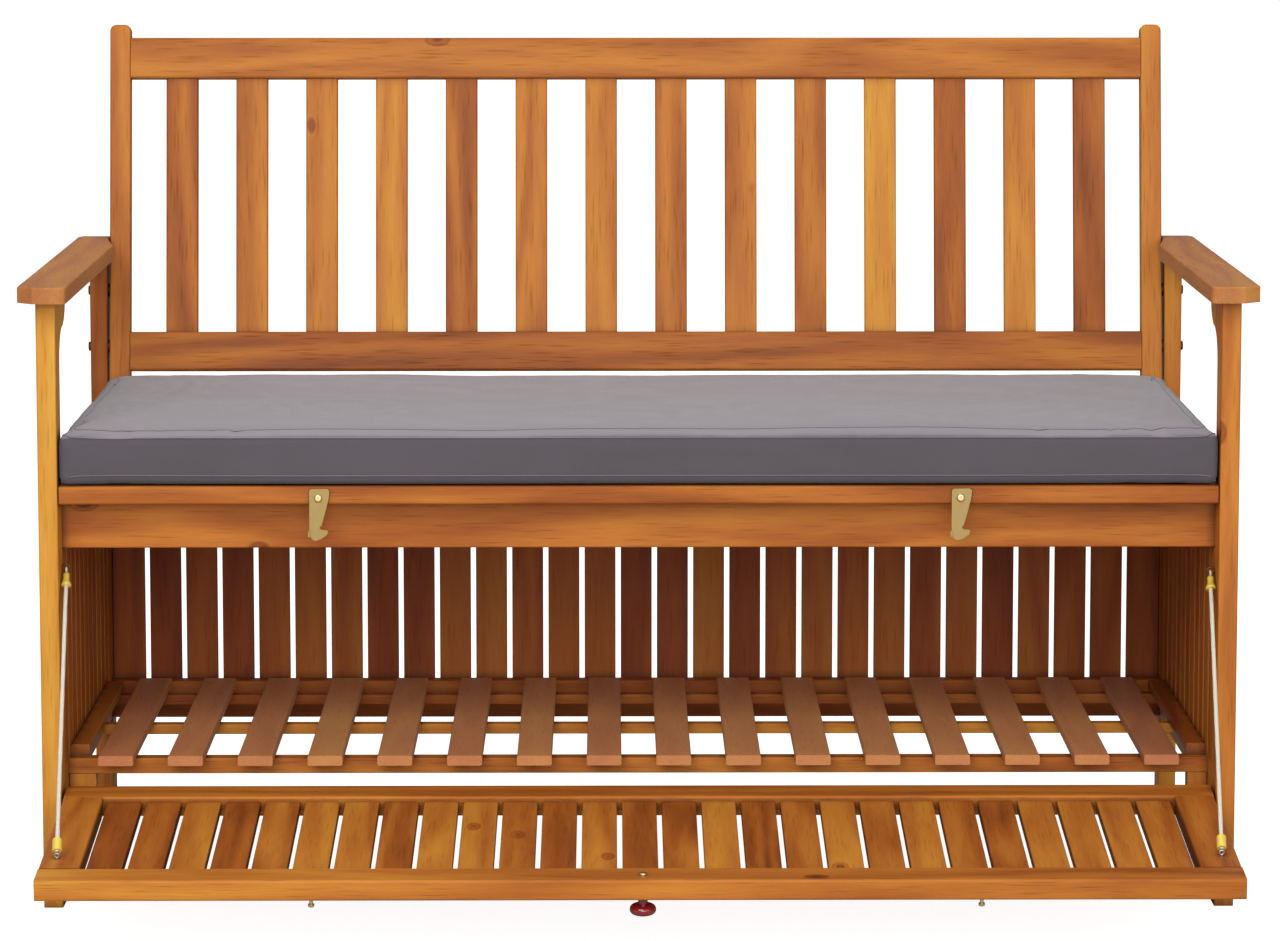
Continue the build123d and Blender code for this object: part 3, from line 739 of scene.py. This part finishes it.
def seams(obj, low, high, cover):
    """The sewn edges of the cover: a welt along the top and the bottom border, and a stitched line just
    inside the top one. Each is laid on the swollen cover."""
    tree = BVHTree.FromPolygons([v.co for v in obj.data.vertices], [p.vertices for p in obj.data.polygons])
    middle, half = (low + high) / 2, (high - low) / 2
    lines = (("top", 0.0, high[2] - 5 * MM, 0.9), ("stitch", 7.0, high[2] + 20 * MM, 0.4),
             ("bottom", 0.0, low[2] + 8 * MM, 0.8))
    for name, inset, z, thick in lines:
        outline = seam_outline(middle, half.x - inset * MM, half.y - inset * MM, z)
        path = []
        for i, p in enumerate(outline):
            q = outline[(i + 1) % len(outline)]
            pieces = max(1, round((q - p).length / SEAM_STEP))
            for k in range(pieces):
                place, normal = tree.find_nearest(p.lerp(q, k / pieces))[:2]
                path.append(place + normal * SEAM_LIFT)
        welt = tube("cushion_seam_" + name, path, [thick * MM] * len(path), cover, around=8, closed=True)
        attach(welt, "cushion")


# ------------------------------------------------------------------ stage
FLOOR_HALF = 40
FLOOR_GREY = (0.55, 0.55, 0.55, 1)
FLOOR_GLOW = 0.9
WORLD_LIGHT, WORLD_SEEN = 0.34, 1.05
WHITE = (1, 1, 1, 1)
# name, place, target, size, power in watts
LIGHTS = (
    ("key", (-1.2, -4.2, 3.0), (0, 0, 0.4), (3.2, 2.4), 124),
    ("front", (0.4, -5.4, 1.35), (0, 0, 0.3), (3.6, 1.6), 98),
    ("side", (2.8, -3.6, 2.0), (0, 0, 0.4), (2.4, 2.0), 25),
    ("top", (0, 0.2, 3.8), (0, 0, 0.4), (3.0, 2.2), 32),
)


def area(name, place, target, size, power):
    light = bpy.data.lights.new(name, "AREA")
    light.shape = "RECTANGLE"
    light.size, light.size_y = size
    light.energy = power
    obj = bpy.data.objects.new(name, light)
    obj.location = place
    obj.rotation_euler = (Vector(target) - Vector(place)).to_track_quat("-Z", "Y").to_euler()
    scene.collection.objects.link(obj)


def pale_floor():
    """A plain floor that the camera sees nearly white."""
    t = Tree("pale_floor")
    t.bsdf.inputs["Base Color"].default_value = FLOOR_GREY
    t.bsdf.inputs["Roughness"].default_value = 0.9
    t.bsdf.inputs["Emission Color"].default_value = WHITE
    seen = t.add("ShaderNodeLightPath").outputs["Is Camera Ray"]
    t.feed(t.bsdf.inputs["Emission Strength"], t.math("MULTIPLY", seen, FLOOR_GLOW))
    size = FLOOR_HALF
    floor = mesh_object("floor", [(-size, -size, 0), (size, -size, 0), (size, size, 0), (-size, size, 0)],
                        [(0, 1, 2, 3)], t.mat, smooth=False)


def pale_world():
    """A white studio, dimmer as a light than as the camera sees it."""
    world = bpy.data.worlds.new("studio")
    world.use_nodes = True
    tree = world.node_tree
    sky = tree.nodes["Background"]
    sky.inputs["Color"].default_value = WHITE
    seen = tree.nodes.new("ShaderNodeLightPath").outputs["Is Camera Ray"]
    strength = tree.nodes.new("ShaderNodeMapRange")
    strength.inputs["To Min"].default_value = WORLD_LIGHT
    strength.inputs["To Max"].default_value = WORLD_SEEN
    tree.links.new(seen, strength.inputs["Value"])
    tree.links.new(strength.outputs[0], sky.inputs["Strength"])
    scene.world = world


def stage():
    pale_floor()
    pale_world()
    for light in LIGHTS:
        area(*light)
    scene.view_settings.view_transform = "Standard"
    scene.view_settings.look = "None"
    scene.view_settings.exposure = 0.0


CAMERA_PLACE = (-0.0285, -5.1569, 1.0759)
CAMERA_DOWN, CAMERA_TURN = 7.35, 0.43  # degrees
CAMERA_LENS, CAMERA_SENSOR = 145.45, 36  # mm
CAMERA_SHIFT = (-0.0065, 0.0021)


def camera():
    """The viewing angle of the product picture: nearly frontal, a little from above, a long lens."""
    data = bpy.data.cameras.new("camera")
    data.sensor_width = CAMERA_SENSOR
    data.lens = CAMERA_LENS
    data.shift_x, data.shift_y = CAMERA_SHIFT
    data.clip_end = 100
    cam = bpy.data.objects.new("camera", data)
    cam.location = CAMERA_PLACE
    cam.rotation_euler = (math.radians(90 - CAMERA_DOWN), 0, -math.radians(CAMERA_TURN))
    scene.collection.objects.link(cam)
    scene.camera = cam


camera()
gold = metal("yellow_lacquer", srgb(244, 214, 92), 0.42, metallic=0.15)
dress_hardware(gold)
stay_cords(gold)
dress_frame()
dress_back()
dress_seat()
dress_box()
dress_flap()
cushion()
stage()
